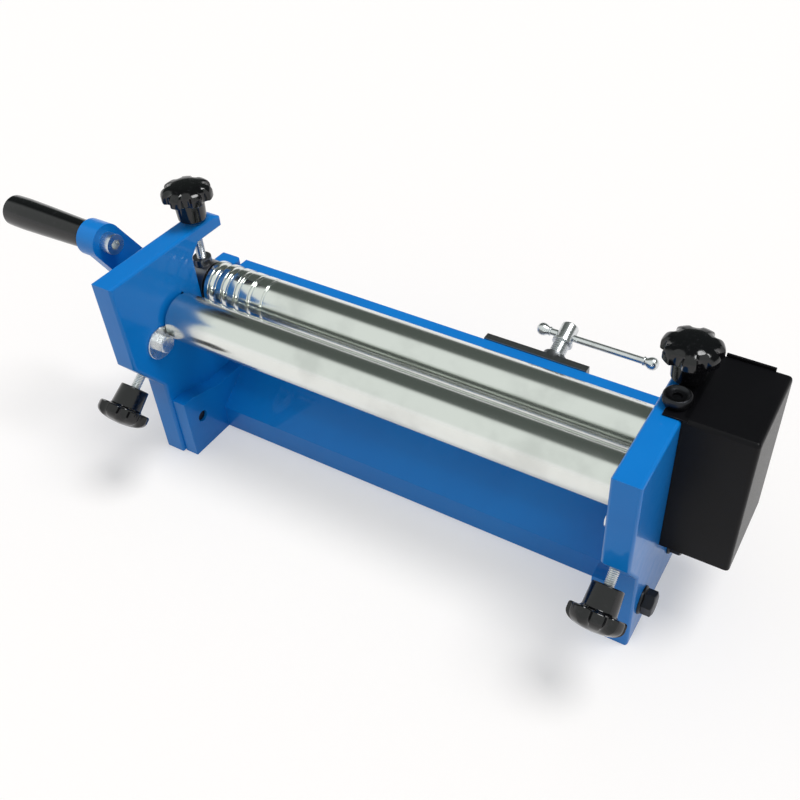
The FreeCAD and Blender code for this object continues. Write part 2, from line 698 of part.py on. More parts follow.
def involute_gear(name, phase):
    """A spur gear with involute flanks, as wide as gear_width, along +Z."""
    teeth = int(SIZES["tooth_count"])
    module = SIZES["roll_diameter"] / teeth
    pitch_radius = module * teeth / 2
    base_radius = pitch_radius * math.cos(math.radians(20))
    tip_radius = pitch_radius + module
    root_radius = pitch_radius - 1.25 * module

    def involute(angle):
        return math.tan(angle) - angle

    at_pitch = math.pi / (2 * teeth) - SIZES["tooth_play"] / (4 * pitch_radius) + involute(math.radians(20))

    def flank_point(radius, middle, side):
        half = at_pitch - involute(math.acos(min(1.0, base_radius / radius)))
        return point(radius, middle + side * half)

    def point(radius, angle):
        return FreeCAD.Vector(radius * math.cos(angle), radius * math.sin(angle), 0)

    edges = []
    radii = (base_radius, (base_radius + tip_radius) / 2, tip_radius)
    step = 2 * math.pi / teeth
    for tooth in range(teeth):
        middle = (tooth + phase) * step
        rise = Part.Arc(*[flank_point(radius, middle, -1) for radius in radii])
        fall = Part.Arc(*[flank_point(radius, middle, 1) for radius in reversed(radii)])
        root = [point(root_radius, middle + side * at_pitch) for side in (-1, 1)]
        edges.append(Part.LineSegment(root[0], flank_point(base_radius, middle, -1)))
        edges.append(rise)
        edges.append(Part.LineSegment(flank_point(tip_radius, middle, -1), flank_point(tip_radius, middle, 1)))
        edges.append(fall)
        edges.append(Part.LineSegment(flank_point(base_radius, middle, 1), root[1]))
        edges.append(Part.LineSegment(root[1], point(root_radius, middle + step - at_pitch)))
    face = Part.Face(Part.Wire([edge.toShape() for edge in edges]))
    item = doc.addObject("Part::Feature", name)
    item.Shape = face.extrude(FreeCAD.Vector(0, 0, SIZES["gear_width"]))
    return item


def shaft_key(name, y="0", z="0"):
    """The square key between a roll's shaft and its gear; y and z give the shaft's axis."""
    key = box(name, "gear_width - 3", "gear_key", "gear_key")
    return put(key, f"{GEAR_X} + 1.5", f"{y} - gear_key / 2", f"{z} + journal_diameter / 2 - gear_key / 2")


def geared_end(label, phase, z):
    """The gear, key, washer and end screw on one pinch roll's shaft."""
    gear = put(involute_gear(label + "_blank", phase), GEAR_X, "pinch_y", z, PROFILE_TURN)
    bore = put(cylinder(label + "_gear_bore", "journal_diameter", "gear_width + 2"), f"{GEAR_X} - 1",
               "pinch_y", z, TURN_TO_X)
    keyway = shaft_key(label + "_keyway", "pinch_y", z)
    node(cut(label + "_gear_cut", gear, fuse(label + "_gear_tools", [bore, keyway])), label + "_gear")
    node(shaft_key(label + "_key_bar", "pinch_y", z), label + "_gear_key")
    disc = put(cylinder(label + "_end_disc", "journal_diameter + 8", "washer_thickness"),
               f"{GEAR_X} + gear_width", "pinch_y", z, TURN_TO_X)
    screw = put(bolt(label + "_end_bolt", "end_screw", "12", "8", "3.5"),
                f"{GEAR_X} + gear_width + washer_thickness", "pinch_y", z, TURN_TO_MINUS_X)
    node(cut(label + "_end_washer_cut", disc, screw), label + "_end_washer")
    node(screw, label + "_end_screw")


def end_tap(name):
    """The tapped hole in a shaft's end for its gear screw."""
    return put(cylinder(name, "end_screw", "12"), f"{SHAFT_END} - 10.5", "0", "0", TURN_TO_X)


def rolls():
    shaft = f"({SHAFT_END} - roll_length / 2)"
    stub = "(end_clearance + frame_thickness - 1)"
    crank_side = "(end_clearance + frame_thickness + arm_offset + arm_thickness)"
    roll("upper_roll", (stub, shaft), wire_grooves(), UPPER_ROLL_Z, "pinch_y",
         [shaft_key("upper_key_slot"), end_tap("upper_tap")])
    roll("lower_roll", (crank_side, shaft), wire_grooves(), "lower_roll_z", "pinch_y",
         [shaft_key("lower_key_slot"), end_tap("lower_tap"), grub("grub_seat", "3")])
    bend_stub = "(end_clearance + bend_block_depth)"
    roll("bending_roll", (bend_stub, bend_stub), [], "bend_roll_z", "bend_roll_y")


HUB_START = f"(0 - {FRAME_OUTSIDE} - arm_offset)"
GRUB_X = f"({HUB_START} + arm_offset / 2)"


def grub(name, length, y="0", z="0"):
    """A grub screw's cylinder along the crank arm, its tip 1 mm inside the shaft."""
    depth = "(journal_diameter / 2 - 1)"
    item = tilt(cylinder(name, "crank_grub", length), "crank_angle")
    return put(item, GRUB_X, f"{y} - {depth} * sin(crank_angle)", f"{z} + {depth} * cos(crank_angle)")


def crank_arm():
    """The forged crank arm: long hub over the shaft, tapered web, boss for the grip."""
    hub = put(cylinder("arm_hub", "hub_diameter", "arm_offset - 3 + arm_thickness"),
              f"{HUB_START} - arm_thickness", "0", "0", TURN_TO_X)
    eye = put(cylinder("arm_eye", "arm_width", "arm_thickness + arm_boss"),
              f"{HUB_START} - arm_thickness - arm_boss", "0", "crank_length", TURN_TO_X)
    web = profile_body("arm_web", [
        ("0 - hub_diameter / 2 + 0.3", "0"),
        ("hub_diameter / 2 - 0.3", "0"),
        ("arm_width / 2 - 0.05", "crank_length"),
        ("0 - arm_width / 2 + 0.05", "crank_length"),
    ], f"{HUB_START} - arm_thickness", "arm_thickness")
    solid = fuse("arm_solid", [hub, eye, web])
    bore = put(cylinder("arm_bore", "journal_diameter", "arm_offset + arm_thickness + 2"),
               f"{HUB_START} - arm_thickness - 1", "0", "0", TURN_TO_X)
    pin_hole = put(cylinder("arm_pin_hole", "grip_bolt", "arm_thickness + arm_boss + 2"),
                   f"{HUB_START} - arm_thickness - arm_boss - 1", "0", "crank_length", TURN_TO_X)
    grub_hole = put(cylinder("arm_grub_hole", "crank_grub", "hub_diameter"), GRUB_X, "0", "0")
    tools = fuse("arm_tools", [bore, pin_hole, grub_hole])
    arm = cut("arm_cut", solid, tools)
    tilt(arm, "crank_angle")
    node(put(arm, "0", "pinch_y", "lower_roll_z"), "crank_arm")
    length = "(hub_diameter / 2 - journal_diameter / 2)"
    node(grub("grub_solid", length, "pinch_y", "lower_roll_z"), "crank_grub_screw")


def crank_point(x):
    """The grip's axis at X."""
    return (x, "pinch_y - crank_length * sin(crank_angle)", "lower_roll_z + crank_length * cos(crank_angle)")


def crank_handle():
    """The turning grip and the socket screw that it turns on."""
    boss_end = f"({HUB_START} - arm_thickness - arm_boss)"
    body = doc.addObject("PartDesign::Body", "grip_body")
    sketch = polygon_sketch(body, "grip_half", [
        ("0", "grip_bolt / 2 + running_clearance"),
        ("0", "grip_neck / 2 - 1"),
        ("1", "grip_neck / 2"),
        ("grip_length - 3", "grip_diameter / 2"),
        ("grip_length", "grip_diameter / 2 - 3"),
        ("grip_length", "0"),
        ("grip_length - 7.5", "0"),
        ("grip_length - 7.5", "grip_bolt / 2 + running_clearance"),
    ])
    turned = body.newObject("PartDesign::Revolution", "grip_turned")
    turned.Profile = sketch
    turned.ReferenceAxis = (sketch, ["H_Axis"])
    turned.Angle = 360
    x, y, z = crank_point(f"{boss_end} - 0.3")
    node(put(body, x, y, z, FreeCAD.Rotation(FreeCAD.Vector(0, 0, 1), 180)), "crank_grip")
    length = "arm_thickness + arm_boss + grip_length - 8"
    head = cylinder("grip_bolt_head", "13", "7")
    put(head, "0", "0", "0 - 7")
    socket = put(prism("grip_bolt_socket", "6", "4"), "0", "0", "0 - 7")
    pin = cut("grip_bolt_cut", fuse("grip_bolt_solid", [head, cylinder("grip_bolt_shank", "grip_bolt", length)]),
              socket)
    x, y, z = crank_point(HUB_START)
    node(put(pin, x, y, z, TURN_TO_MINUS_X), "grip_bolt")


def gear_cover():
    """The folded sheet cover over the gears, open towards the frame and below."""
    depth = "(cover_front + post_reach + cover_sheet)"
    height = "(frame_height + cover_sheet - cover_bottom)"
    outside = put(box("cover_outside", "cover_width", depth, height), FRAME_OUTSIDE, "0 - cover_front",
                  "cover_bottom")
    tab = put(box("cover_top_tab", "cover_tab", "cover_front + horn_reach - 4", "cover_sheet"),
              f"{FRAME_OUTSIDE} - cover_tab", "0 - cover_front", "frame_height")
    rear_tab = put(box("cover_rear_tab", "cover_tab", "cover_sheet", "40"),
                   f"{FRAME_OUTSIDE} - cover_tab", "post_reach", "cover_bottom")
    solid = fuse("cover_solid", [outside, tab, rear_tab])
    inside = put(box("cover_inside", "cover_width - cover_sheet", f"{depth} - 2 * cover_sheet",
                     f"{height} - cover_sheet + 1"), FRAME_OUTSIDE, "cover_sheet - cover_front",
                 "cover_bottom - 1")
    tools = [inside]
    tools.append(put(cylinder("cover_screw_gap", "screw_diameter + 1", "4"), LIFT_X, "pinch_y",
                     "frame_height - 1"))
    (top_y, top_z), (rear_y, rear_z) = COVER_SCREWS
    tools.append(put(cylinder("cover_top_hole", "cover_screw", "4"), COVER_SCREW_X, top_y, "frame_height - 1"))
    tools.append(put(cylinder("cover_rear_hole", "cover_screw", "4"), COVER_SCREW_X, "post_reach - 1", rear_z,
                     TURN_TO_Y))
    return node(cut("cover_cut", solid, fuse("cover_tools", tools)), "gear_cover")


def cover_screws():
    (top_y, top_z), (rear_y, rear_z) = COVER_SCREWS
    pieces = []
    for i, turn in enumerate((FreeCAD.Rotation(FreeCAD.Vector(1, 0, 0), 180), FreeCAD.Rotation(FreeCAD.Vector(1, 0, 0), 90))):
        head = put(cone(f"cover_screw_head{i}", "5", "8", "2.4"), "0", "0", "0 - 2.4")
        screw = fuse(f"cover_screw_solid{i}", [head, cylinder(f"cover_screw_shank{i}", "cover_screw", "8")])
        y, z = ((top_y, top_z), (rear_y, rear_z))[i]
        pieces.append(put(screw, COVER_SCREW_X, y, z, turn))
    return node(fuse("cover_screw_pair", pieces), "cover_screws")


PLATE_BACK = "(post_reach + clamp_plate)"
CLAMP_Z = "(post_height - 6)"
CLAMP_BOLT_X = ("clamp_x - 36", "clamp_x + 17")
CLAMP_BOLT_Z = "(post_height - rail_height + 8)"


def clamp_point(distance):
    """A point on the clamp screw's axis, measured up and back from the plate's back face."""
    return (f"{PLATE_BACK} + ({distance}) * cos(clamp_angle)",
            f"{CLAMP_Z} + ({distance}) * sin(clamp_angle)")


def clamp_plate():
    """The steel plate behind the rail with the threaded boss for the clamp screw."""
    plate = put(box("clamp_plate_bar", "clamp_width", "clamp_plate", "rail_height"), "clamp_x - 43",
                "post_reach", "post_height - rail_height + 1")
    boss = tilt(cylinder("clamp_boss", "clamp_screw + 5", "7"), "0 - 90 + clamp_angle")
    put(boss, "clamp_x", *clamp_point("0 - 2"))
    solid = fuse("clamp_plate_solid", [plate, boss])
    hole = tilt(cylinder("clamp_thread", "clamp_screw + 2 * running_clearance", "60"), "0 - 90 + clamp_angle")
    put(hole, "clamp_x", *clamp_point("0 - 25"))
    tools = [hole]
    for i, x in enumerate(CLAMP_BOLT_X):
        tools.append(put(cylinder(f"clamp_plate_hole{i}", "5", "clamp_plate + 2"), x, "post_reach - 1",
                         CLAMP_BOLT_Z, TURN_TO_Y))
    return node(cut("clamp_plate_cut", solid, fuse("clamp_plate_tools", tools)), "clamp_plate")


def clamp_bolts():
    pieces = []
    for i, x in enumerate(CLAMP_BOLT_X):
        piece = bolt(f"clamp_bolt{i}", "5", "clamp_plate + rail_thickness - 1", "8", "3.5")
        pieces.append(put(piece, x, PLATE_BACK, CLAMP_BOLT_Z, FreeCAD.Rotation(FreeCAD.Vector(1, 0, 0), 90)))
    return node(fuse("clamp_bolt_pair", pieces), "clamp_bolts")


HEAD_DISTANCE = "(6 + clamp_stroke)"
BAR_DISTANCE = "(6 + clamp_stroke + 6)"


def clamp_tools():
    """The clamp screw with its cross bar, and the brass tip that it pushes."""
    lean = "0 - 90 + clamp_angle"
    stem = tilt(cylinder("clamp_stem", "clamp_screw", f"{HEAD_DISTANCE} + 10"), lean)
    put(stem, "clamp_x", *clamp_point("0 - 8"))
    head = tilt(cylinder("clamp_screw_head", "clamp_head", "14"), lean)
    put(head, "clamp_x", *clamp_point(HEAD_DISTANCE))
    collar = tilt(cylinder("clamp_collar", "clamp_head + 2", "2"), lean)
    put(collar, "clamp_x", *clamp_point(HEAD_DISTANCE))
    hole = put(cylinder("clamp_bar_hole", "tommy_diameter + 2 * running_clearance", "clamp_head + 6"),
               "clamp_x - clamp_head / 2 - 3", *clamp_point(BAR_DISTANCE), TURN_TO_X)
    solid = fuse("clamp_screw_solid", [stem, head, collar])
    node(cut("clamp_screw_cut", solid, hole), "clamp_screw")
    tip = tilt(cylinder("clamp_tip_solid", "clamp_tip", "4"), lean)
    node(put(tip, "clamp_x", *clamp_point("0 - 12")), "clamp_tip")
    bar = put(cylinder("tommy_bar_solid", "tommy_diameter", "tommy_length"),
              "clamp_x - tommy_length / 2 + tommy_offset", *clamp_point(BAR_DISTANCE), TURN_TO_X)
    balls = []
    for i, side in ((0, -1), (1, 1)):
        ball = doc.addObject("Part::Sphere", f"tommy_ball{i}")
        bind(ball, Radius="tommy_ball / 2")
        x = f"clamp_x + {side} * tommy_length / 2 + tommy_offset"
        balls.append(put(ball, x, *clamp_point(BAR_DISTANCE)))
    node(cut("tommy_ends_cut", fuse("tommy_ball_pair", balls), bar), "tommy_bar_ends")
    node(bar, "tommy_bar")


for side_name, side_sign in SIDES:
    side_frame(f"{side_name}_frame", side_sign)
base_casting()
rear_rail()
lower_bushes()
rolls()
for side_name, side_sign in SIDES:
    upper_block(side_name, side_sign)
    bend_block(side_name, side_sign)
upper_bushes()
bend_bushes()
keeper_nodes()
adjusters()
frame_bolts()
rail_bolts()
geared_end("upper", 0.5, UPPER_ROLL_Z)
geared_end("lower", 0.0, "lower_roll_z")
crank_arm()
crank_handle()
gear_cover()
cover_screws()
clamp_plate()
clamp_bolts()
clamp_tools()
doc.recompute()

faults = [item.Name for item in doc.Objects if "Invalid" in item.State or "Error" in item.State]
faults += [item.Label for item in NODES if item.Shape.isNull() or not item.Shape.isValid()]
if faults:
    raise RuntimeError("failed objects: " + ", ".join(faults))

os.makedirs("parts", exist_ok=True)
for item in NODES:
    item.Shape.exportStep(f"parts/{item.Label}.step")
    print(item.Label, len(item.Shape.Solids), round(item.Shape.Volume))
print(len(NODES), "sub-parts")
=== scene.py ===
# Looks of the bench slip roll machine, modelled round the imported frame.
# Shapes are drawn in millimetres and become metres when they are placed in the scene.
import json
import math

import bmesh
import bpy
from mathutils import Matrix, Vector

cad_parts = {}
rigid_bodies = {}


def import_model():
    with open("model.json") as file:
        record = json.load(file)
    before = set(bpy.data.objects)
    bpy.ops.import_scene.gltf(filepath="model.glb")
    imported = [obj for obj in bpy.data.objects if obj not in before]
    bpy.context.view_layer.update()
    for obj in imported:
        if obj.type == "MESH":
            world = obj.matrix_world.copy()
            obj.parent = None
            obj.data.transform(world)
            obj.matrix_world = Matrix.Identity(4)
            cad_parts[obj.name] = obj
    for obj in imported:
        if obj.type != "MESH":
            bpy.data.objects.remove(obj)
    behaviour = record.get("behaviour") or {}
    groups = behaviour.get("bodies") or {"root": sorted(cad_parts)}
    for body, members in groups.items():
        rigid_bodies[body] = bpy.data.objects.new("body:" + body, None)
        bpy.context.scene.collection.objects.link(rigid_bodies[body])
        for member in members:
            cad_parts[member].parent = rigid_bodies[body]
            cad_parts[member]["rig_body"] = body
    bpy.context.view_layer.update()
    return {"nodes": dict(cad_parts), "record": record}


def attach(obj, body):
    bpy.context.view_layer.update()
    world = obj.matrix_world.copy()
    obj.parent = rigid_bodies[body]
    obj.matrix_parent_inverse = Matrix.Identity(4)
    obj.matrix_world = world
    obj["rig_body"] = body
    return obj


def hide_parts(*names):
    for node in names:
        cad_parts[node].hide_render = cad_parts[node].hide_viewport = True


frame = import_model()
NODES = frame["nodes"]
SLOTS = {part["node"]: part["material_slot"] for part in frame["record"]["subparts"]}

MM = 0.001
UP = Vector((0, 0, 1))
ALONG_ROLLS = Vector((1, 0, 0))
FINE = 1e-3
SHARP_EDGE = math.radians(34)

ROLL_RADIUS = 15.5
HALF_ROLL = 153.0
JOURNAL = 7.0
INSIDE = 155.0
OUTSIDE = 171.0
FRAME_TOP = 148.0
POST_BACK = 46.0
PLATE_BACK = 51.0
PINCH_Y = 20.0
LOWER_Z = 71.6
UPPER_Z = 103.0
SHAFT_END = 189.5
CRANK_SHAFT_END = 201.0
UPPER_SHAFT_START = -170.0
BEND_SHAFT_END = 167.0
BEND_ROLL = Vector((0, -17, 101))
SLOPE = math.radians(35)
UP_SLIDE = Vector((0, math.cos(SLOPE), math.sin(SLOPE)))
ACROSS_SLIDE = Vector((0, -math.sin(SLOPE), math.cos(SLOPE)))
CHIN = 44.48
LIFT_X = 163.0
BEND_X = 161.1
SIDES = (("left", -1), ("right", 1))


# ---------------------------------------------------------------- finishes

class Value:
    """A node's output that takes part in Python sums; each sum adds its Math node."""

    def __init__(self, finish, socket):
        self.finish = finish
        self.socket = socket

    def sum(self, operation, first, second):
        return self.finish.node("ShaderNodeMath", {"operation": operation}, {0: first, 1: second})

    def __add__(self, other):
        return self.sum("ADD", self, other)

    def __radd__(self, other):
        return self.sum("ADD", other, self)

    def __mul__(self, other):
        return self.sum("MULTIPLY", self, other)

    def __rmul__(self, other):
        return self.sum("MULTIPLY", other, self)


class Finish:
    """A surface whose patterns read Object coordinates."""

    def __init__(self, name):
        self.material = bpy.data.materials.new(name)
        self.material.use_nodes = True
        self.tree = self.material.node_tree
        self.shader = self.tree.nodes["Principled BSDF"]
        self.place = self.node("ShaderNodeTexCoord", output="Object")

    def node(self, kind, settings=None, sockets=None, output=0):
        made = self.tree.nodes.new(kind)
        for name, value in (settings or {}).items():
            if name == "stops":
                for stop, (position, colour) in zip(made.color_ramp.elements, value):
                    stop.position = position
                    stop.color = colour
            else:
                setattr(made, name, value)
        for name, value in (sockets or {}).items():
            self.feed(made.inputs[name], value)
        return Value(self, made.outputs[output])

    def feed(self, socket, value):
        if isinstance(value, Value):
            self.tree.links.new(value.socket, socket)
        else:
            socket.default_value = value

    def grain(self, size, detail=2.0, stretch=(1, 1, 1)):
        """Noise whose spots are about size millimetres, divided by stretch along each axis."""
        scale = Vector(stretch) / (size * MM)
        spread = self.node("ShaderNodeMapping", sockets={"Vector": self.place, "Scale": scale})
        return self.node("ShaderNodeTexNoise", sockets={"Vector": spread, "Scale": 1.0, "Detail": detail})

    def masked(self, value, low, high):
        """0 below low, 1 above high, smooth between."""
        return self.node("ShaderNodeMapRange", {"interpolation_type": "SMOOTHSTEP"},
                         {"Value": value, "From Min": low, "From Max": high})

    def mixed(self, mask, first, second):
        return self.node("ShaderNodeMix", {"data_type": "RGBA"}, {0: mask, 6: first, 7: second}, output=2)

    def bump(self, height, depth, under=None):
        """Relief of the given depth in millimetres, on top of another relief."""
        sockets = {"Height": height, "Strength": 1.0, "Distance": depth * MM}
        if under:
            sockets["Normal"] = under
        return self.node("ShaderNodeBump", sockets=sockets)

    def surface(self, **values):
        for name, value in values.items():
            self.feed(self.shader.inputs[name.replace("_", " ")], value)


def enamel(name, dark, light):
    """Glossy enamel on cast iron: slow colour drift over soft casting dimples."""
    paint = Finish(name)
    drift = paint.grain(45, 3)
    dimples = paint.grain(9, 2)
    paint.surface(Base_Color=paint.mixed(drift, dark, light), Roughness=0.30 + 0.14 * dimples,
                  Normal=paint.bump(dimples, 0.10), Specular_IOR_Level=0.15, Coat_Weight=0.32,
                  Coat_Roughness=0.05)
    return paint.material


def turned_steel(name, colour, smooth=0.12, rough=0.24):
    """Ground steel turned about an axis along X, with fine lines round it and a few dull patches."""
    lines_per_metre = 2600
    steel = Finish(name)
    along = steel.node("ShaderNodeSeparateXYZ", sockets={0: steel.place})
    lines = steel.node("ShaderNodeTexNoise", {"noise_dimensions": "1D"},
                       {"W": along * lines_per_metre, "Scale": 1.0, "Detail": 4.0})
    patches = steel.masked(steel.grain(30, 4), 0.45, 0.75)
    swell = steel.grain(14, 1, (0.5, 1, 1))
    dark = [part * 0.86 for part in colour[:3]] + [1]
    steel.surface(Base_Color=steel.mixed(patches, colour, dark), Metallic=1.0,
                  Roughness=smooth + (rough - smooth) * lines + 0.05 * patches,
                  Normal=steel.bump(lines, 0.003, steel.bump(swell, 0.05)))
    return steel.material


def machined_steel(name, colour, smooth=0.25, rough=0.42, scratch=(1, 1, 12), depth=0.006):
    """Milled or plated steel: fine cutter marks, spots of stain."""
    steel = Finish(name)
    marks = steel.grain(5, 2, scratch)
    stain = steel.masked(steel.grain(12, 2), 0.5, 0.8)
    dark = [part * 0.7 for part in colour[:3]] + [1]
    steel.surface(Base_Color=steel.mixed(stain, colour, dark), Metallic=1.0,
                  Roughness=smooth + (rough - smooth) * marks + 0.06 * stain,
                  Normal=steel.bump(marks, depth))
    return steel.material


def moulded_plastic(name, colour, smooth=0.12, rough=0.26):
    """Glossy black plastic, faintly uneven, with small dull scuffs."""
    plastic = Finish(name)
    swell = plastic.grain(7, 2)
    scuffs = plastic.masked(plastic.grain(2.4, 5), 0.56, 0.72)
    pale = [part * 1.9 + 0.004 for part in colour[:3]] + [1]
    plastic.surface(Base_Color=plastic.mixed(scuffs, colour, pale), Roughness=smooth + (rough - smooth) * scuffs,
                    Normal=plastic.bump(swell, 0.06))
    return plastic.material


def coated_sheet(name, colour):
    """Satin black powder coat on folded sheet."""
    sheet = Finish(name)
    pebble = sheet.grain(0.9, 2)
    drift = sheet.grain(35, 3)
    pale = [part * 1.5 + 0.002 for part in colour[:3]] + [1]
    sheet.surface(Base_Color=sheet.mixed(drift, colour, pale), Roughness=0.26 + 0.16 * pebble,
                  Normal=sheet.bump(pebble, 0.012), Specular_IOR_Level=0.12)
    return sheet.material


FINISHES = {
    "frame_paint": enamel("blue enamel", (0.001, 0.168, 0.570, 1), (0.002, 0.225, 0.690, 1)),
    "crank_paint": enamel("crank enamel", (0.001, 0.168, 0.570, 1), (0.003, 0.235, 0.710, 1)),
    "roll_steel": turned_steel("ground roll steel", (0.76, 0.78, 0.75, 1)),
    "gear_steel": machined_steel("gear steel", (0.40, 0.40, 0.41, 1)),
    # Bearing block steel: its very dark colour is painted shade, for the shade in the frame pockets round the roll
    # ends.
    "block_steel": machined_steel("bearing block steel darkened as painted shade", (0.20, 0.20, 0.21, 1)),
    "screw_steel": machined_steel("zinc plate", (0.72, 0.74, 0.75, 1), 0.20, 0.34, (1, 1, 1), 0.002),
    "bush_bronze": turned_steel("bush bronze", (0.62, 0.36, 0.14, 1), 0.22, 0.36),
    "black_bolts": machined_steel("black oxide", (0.035, 0.036, 0.040, 1), 0.30, 0.48),
    "black_sheet": coated_sheet("cover powder coat", (0.003, 0.003, 0.004, 1)),
    "black_plastic": moulded_plastic("knob plastic", (0.003, 0.003, 0.004, 1)),
    # Clamp plate steel with a dark colour.
    "plate_steel": machined_steel("dark clamp plate steel", (0.20, 0.21, 0.22, 1), 0.26, 0.46, (12, 1, 1)),
}


# ---------------------------------------------------------------- shape tools

def turned(outline, steps=64):
    """A solid turned about +Z from (radius, height, rounding) points; it may touch the axis at its ends."""
    shape = bmesh.new()
    verts = [shape.verts.new((point[0], 0, point[1])) for point in outline]
    for pair in zip(verts, verts[1:]):
        shape.edges.new(pair)
    roundings = [(vert, point[2]) for vert, point in zip(verts, outline) if len(point) > 2]
    for radius in sorted({radius for vert, radius in roundings}):
        corners = [vert for vert, own in roundings if own == radius]
        bmesh.ops.bevel(shape, geom=corners, offset=radius, segments=4, profile=0.5, affect="VERTICES",
                        material=-1)
    bmesh.ops.spin(shape, geom=shape.verts[:] + shape.edges[:], cent=(0, 0, 0), axis=(0, 0, 1),
                   angle=2 * math.pi, steps=steps, use_merge=True, use_duplicate=False)
    bmesh.ops.remove_doubles(shape, verts=shape.verts, dist=FINE)
    bmesh.ops.recalc_face_normals(shape, faces=shape.faces)
    return shape


def placed(shape, origin, axis=UP, spin=0.0):
    """Turn a shape's +Z to the axis and move its origin, still in millimetres."""
    turn = UP.rotation_difference(Vector(axis)).to_matrix().to_4x4()
    matrix = Matrix.Translation(Vector(origin)) @ turn @ Matrix.Rotation(spin, 4, "Z")
    bmesh.ops.transform(shape, matrix=matrix, verts=shape.verts)
    return shape


def joined(shapes):
    """One shape from several."""
    whole = bmesh.new()
    for shape in shapes:
        mesh = bpy.data.meshes.new("part")
        shape.to_mesh(mesh)
        shape.free()
        whole.from_mesh(mesh)
        bpy.data.meshes.remove(mesh)
    return whole


def finished(name, shape, nodes, sharp=SHARP_EDGE, rounding=0.0, segments=3, marked_edges=False):
    """Put a shape in the scene in metres, in place of the CAD nodes that it stands for.

    Its sharp edges are rounded, or only those with a bevel weight where marked_edges is true.
    """
    for face in shape.faces:
        face.smooth = True
    for edge in shape.edges:
        edge.smooth = edge.calc_face_angle(0.0) < sharp
    bmesh.ops.scale(shape, vec=(MM, MM, MM), verts=shape.verts)
    mesh = bpy.data.meshes.new(name)
    shape.to_mesh(mesh)
    shape.free()
    piece = bpy.data.objects.new(name, mesh)
    bpy.context.scene.collection.objects.link(piece)
    slot = SLOTS[nodes[0]]
    mesh.materials.append(FINISHES[slot])
    if rounding:
        bevel = piece.modifiers.new("edges", "BEVEL")
        bevel.width = rounding * MM
        bevel.segments = segments
        bevel.limit_method = "WEIGHT" if marked_edges else "ANGLE"
        bevel.angle_limit = sharp
    even = piece.modifiers.new("even shading", "WEIGHTED_NORMAL")
    even.keep_sharp = True
    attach(piece, NODES[nodes[0]]["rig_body"])
    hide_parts(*nodes)
    return piece


def copied(node):
    """The CAD node's own shape in millimetres, with its flat faces made whole."""
    shape = bmesh.new()
    shape.from_mesh(NODES[node].data)
    bmesh.ops.scale(shape, vec=(1 / MM, 1 / MM, 1 / MM), verts=shape.verts)
    bmesh.ops.remove_doubles(shape, verts=shape.verts, dist=FINE)
    bmesh.ops.dissolve_limit(shape, angle_limit=math.radians(0.5), verts=shape.verts, edges=shape.edges)
    return shape


def cap_openings(shape):
    """Close the flat openings that a cut left."""
    bmesh.ops.holes_fill(shape, edges=[edge for edge in shape.edges if edge.is_boundary])


def cut_flat(shape, point, normal):
    """Keep what lies below a plane, and close the cut."""
    geometry = shape.verts[:] + shape.edges[:] + shape.faces[:]
    bmesh.ops.bisect_plane(shape, geom=geometry, plane_co=point, plane_no=normal, clear_outer=True)
    cap_openings(shape)


def thread(radius, pitch, depth, length, steps=20):
    """A screw thread about +Z from 0 to length, cut flat at both ends."""
    shape = bmesh.new()
    outline = ((radius - depth, 0), (radius, 0.38), (radius, 0.62), (radius - depth, 1))
    verts = [shape.verts.new((r, 0, (z - 1) * pitch)) for r, z in outline]
    for pair in zip(verts, verts[1:]):
        shape.edges.new(pair)
    turns = math.ceil(length / pitch) + 2
    bmesh.ops.spin(shape, geom=shape.verts[:] + shape.edges[:], cent=(0, 0, 0), axis=(0, 0, 1),
                   dvec=(0, 0, pitch / steps), angle=2 * math.pi * turns, steps=turns * steps,
                   use_merge=False, use_duplicate=False)
    bmesh.ops.remove_doubles(shape, verts=shape.verts, dist=0.01)
    bmesh.ops.recalc_face_normals(shape, faces=shape.faces)
    cut_flat(shape, (0, 0, length), (0, 0, 1))
    cut_flat(shape, (0, 0, 0), (0, 0, -1))
    return shape


def hexagon(flats, height):
    """A hexagon head that stands on z = 0, its top corners chamfered by turning."""
    corner = flats / 2 / math.cos(math.pi / 6)
    rim = flats * 0.46
    shape = turned([(0, 0), (corner, 0), (corner, height - (corner - rim) * 0.55), (rim, height), (0, height)],
                   48)
    for side in range(6):
        normal = Vector((math.cos(math.pi / 3 * side), math.sin(math.pi / 3 * side), 0))
        cut_flat(shape, normal * flats / 2, normal)
    return shape


def disc(outer, inner, height):
    """A washer or ring from z = 0 to height with eased edges."""
    edge = 0.25
    return turned([(inner, 0), (outer - edge, 0), (outer, edge), (outer, height - edge), (outer - edge, height),
                   (inner, height), (inner, 0)])


def rod(radius, low, high, edge=0.4):
    """A round bar from z = low to z = high with eased ends."""
    return turned([(0, low), (radius - edge, low), (radius, low + edge), (radius, high - edge),
                   (radius - edge, high), (0, high)], 48)


# ---------------------------------------------------------------- rolls

FIRST_GROOVE = 7.0
GROOVE_PITCH = 10.0
GROOVE_WIDTH = 6.5
GROOVE_STEP = 1.15
GROOVE_COUNT = 5


def groove(middle, width):
    """Half-round groove for wire: points along the roll from its left lip to its right."""
    lip, shoulder, steps = 0.25, 0.12, 12
    points = [(ROLL_RADIUS, middle - width / 2 - lip)]
    for step in range(steps + 1):
        turn = math.pi * step / steps
        points.append((ROLL_RADIUS - shoulder - 0.45 * width * math.sin(turn),
                       middle - width / 2 * math.cos(turn)))
    points.append((ROLL_RADIUS, middle + width / 2 + lip))
    return points


